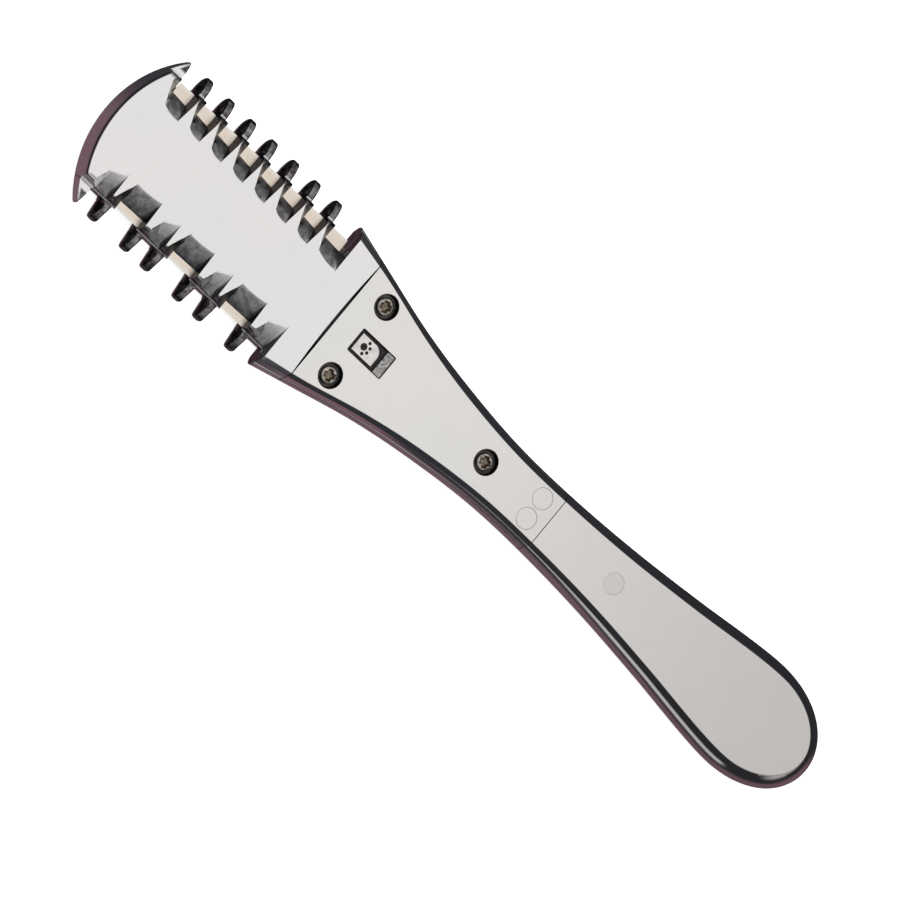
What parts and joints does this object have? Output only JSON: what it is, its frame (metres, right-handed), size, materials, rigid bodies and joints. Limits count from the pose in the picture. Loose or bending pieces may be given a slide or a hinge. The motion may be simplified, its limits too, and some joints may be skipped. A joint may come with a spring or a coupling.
{
  "type": "dematting comb",
  "caption": "Double-sided metal dematting comb: toothed head plates clamp a double-edged blade, fine gaps on one side and coarse on the other, with a screwed neck and paddle grip.",
  "frame": {"origin": "on the flat back face, under the middle of the comb head, on the comb's centre line", "axes": "+X from the head towards the grip, +Y across the comb towards the side with the evenly spaced teeth, +Z out of the front face"},
  "size_m": [0.1665, 0.03, 0.0048],
  "materials": {
    "satin_chrome": "satin plated, fine lengthwise brushing on the faces",
    "blade_steel": "ground, faintly warm",
    "screw_steel": "bright domed head, dark cross recess",
    "dark_steel": "dark oxide",
    "plain_steel": "plain rolled",
    "brass": "machined",
    "badge_metal": "bright relief on a darker cast ground"
  },
  "bodies": {
    "frame": {"head_back_comb": "satin_chrome", "double_edge_blade": "blade_steel", "neck_back_cover": "satin_chrome", "grip_body": "satin_chrome", "handle_tang": "plain_steel", "neck_pin_left": "satin_chrome", "neck_pin_right": "satin_chrome", "grip_pin": "satin_chrome", "screw_insert_left": "brass", "screw_insert_right": "brass", "screw_insert_rear": "brass"},
    "front_comb": {"head_front_comb": "satin_chrome"},
    "front_cover": {"neck_front_cover": "satin_chrome", "badge_plate": "badge_metal"},
    "washer_left": {"screw_washer_left": "dark_steel"},
    "screw_left": {"cover_screw_left": "screw_steel"},
    "washer_right": {"screw_washer_right": "dark_steel"},
    "screw_right": {"cover_screw_right": "screw_steel"},
    "washer_rear": {"screw_washer_rear": "dark_steel"},
    "screw_rear": {"cover_screw_rear": "screw_steel"}
  },
  "joints": [
    {"name": "front_comb_slide", "type": "slide", "parent": "frame", "child": "front_comb", "axis": [-1, 0, 0], "range_m": [0, 0.0085]},
    {"name": "front_cover_lift", "type": "slide", "parent": "frame", "child": "front_cover", "axis": [0, 0, 1], "range_m": [0, 0.012]},
    {"name": "washer_left_rise", "type": "slide", "parent": "front_cover", "child": "washer_left", "axis": [0, 0, 1], "range_m": [0, 0.00175]},
    {"name": "screw_left_turn", "type": "hinge", "parent": "washer_left", "child": "screw_left", "pos_m": [0.0349, 0.0072, 0], "axis": [0, 0, 1], "range_deg": [0, 1800]},
    {"name": "washer_right_rise", "type": "slide", "parent": "front_cover", "child": "washer_right", "axis": [0, 0, 1], "range_m": [0, 0.00175]},
    {"name": "screw_right_turn", "type": "hinge", "parent": "washer_right", "child": "screw_right", "pos_m": [0.0349, -0.0072, 0], "axis": [0, 0, 1], "range_deg": [0, 1800]},
    {"name": "washer_rear_rise", "type": "slide", "parent": "front_cover", "child": "washer_rear", "axis": [0, 0, 1], "range_m": [0, 0.00175]},
    {"name": "screw_rear_turn", "type": "hinge", "parent": "washer_rear", "child": "screw_rear", "pos_m": [0.0653, 0, 0], "axis": [0, 0, 1], "range_deg": [0, 1800]}
  ],
  "couplings": [
    {"joint": "screw_left_turn", "follows": "washer_left_rise", "rad_per_m": 17952},
    {"joint": "screw_right_turn", "follows": "washer_right_rise", "rad_per_m": 17952},
    {"joint": "screw_rear_turn", "follows": "washer_rear_rise", "rad_per_m": 17952}
  ]
}
